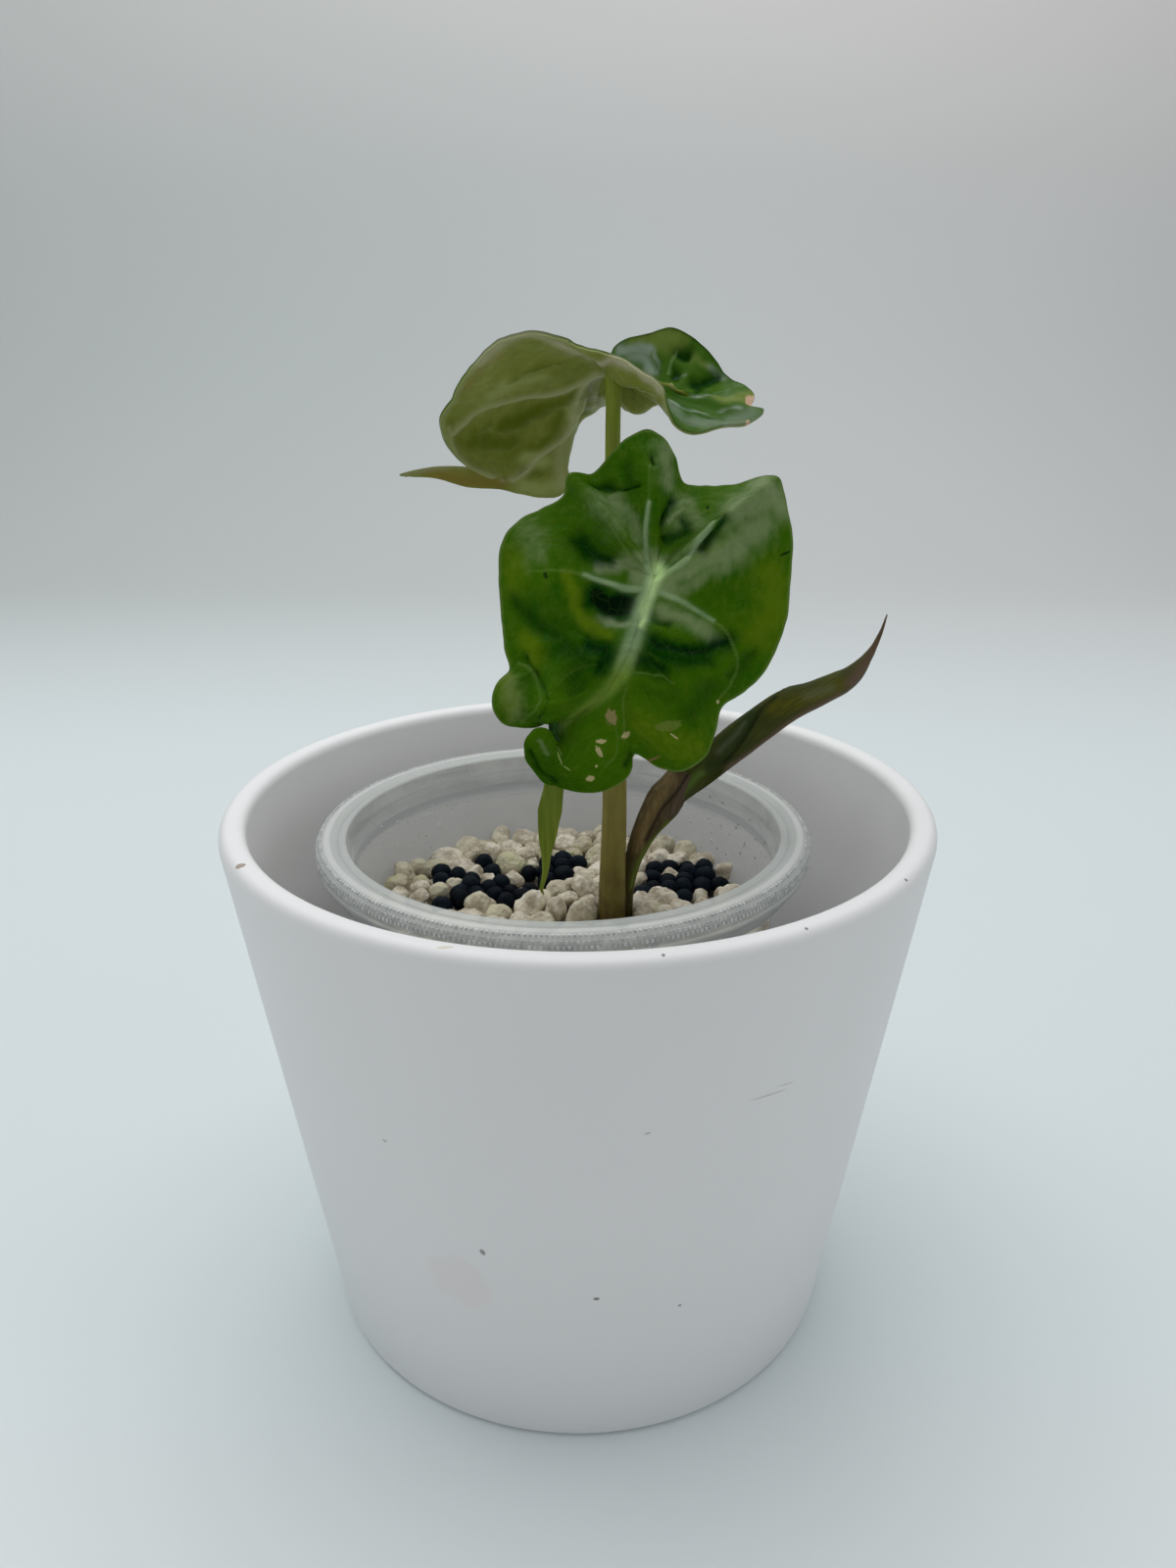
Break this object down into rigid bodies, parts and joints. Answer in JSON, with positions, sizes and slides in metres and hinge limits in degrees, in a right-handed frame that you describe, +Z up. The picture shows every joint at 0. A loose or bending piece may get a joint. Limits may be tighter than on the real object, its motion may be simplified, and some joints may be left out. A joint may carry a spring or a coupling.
{
  "type": "potted venom alocasia",
  "caption": "Small alocasia with glossy lobed leaves and a furled new leaf, in pumice and bead gravel in a clear cup inside a tapered white pot.",
  "frame": {"origin": "on the ground under the middle of the whole part's outline", "axes": "+Z up; -Y towards the side that the front leaf faces; +X towards the furled new leaf"},
  "size_m": [0.14, 0.14, 0.1995],
  "materials": {
    "outer_pot": "matte white",
    "inner_cup": "clear, misted inside",
    "pumice_bed": "rough, damp",
    "bead_cluster_left": "satin",
    "bead_cluster_right": "satin",
    "corm_with_roots": "plain",
    "petiole_front": "satin",
    "petiole_top": "satin",
    "blade_front": "glossy",
    "blade_top": "satin",
    "new_leaf_sheath": "papery",
    "new_leaf": "satin"
  },
  "bodies": {
    "root": {"outer_pot": "outer_pot", "inner_cup": "inner_cup", "pumice_bed": "pumice_bed", "bead_cluster_left": "bead_cluster_left", "bead_cluster_right": "bead_cluster_right", "corm_with_roots": "corm_with_roots", "petiole_front": "petiole_front", "petiole_top": "petiole_top", "blade_front": "blade_front", "blade_top": "blade_top", "new_leaf_sheath": "new_leaf_sheath", "new_leaf": "new_leaf"}
  },
  "joints": []
}
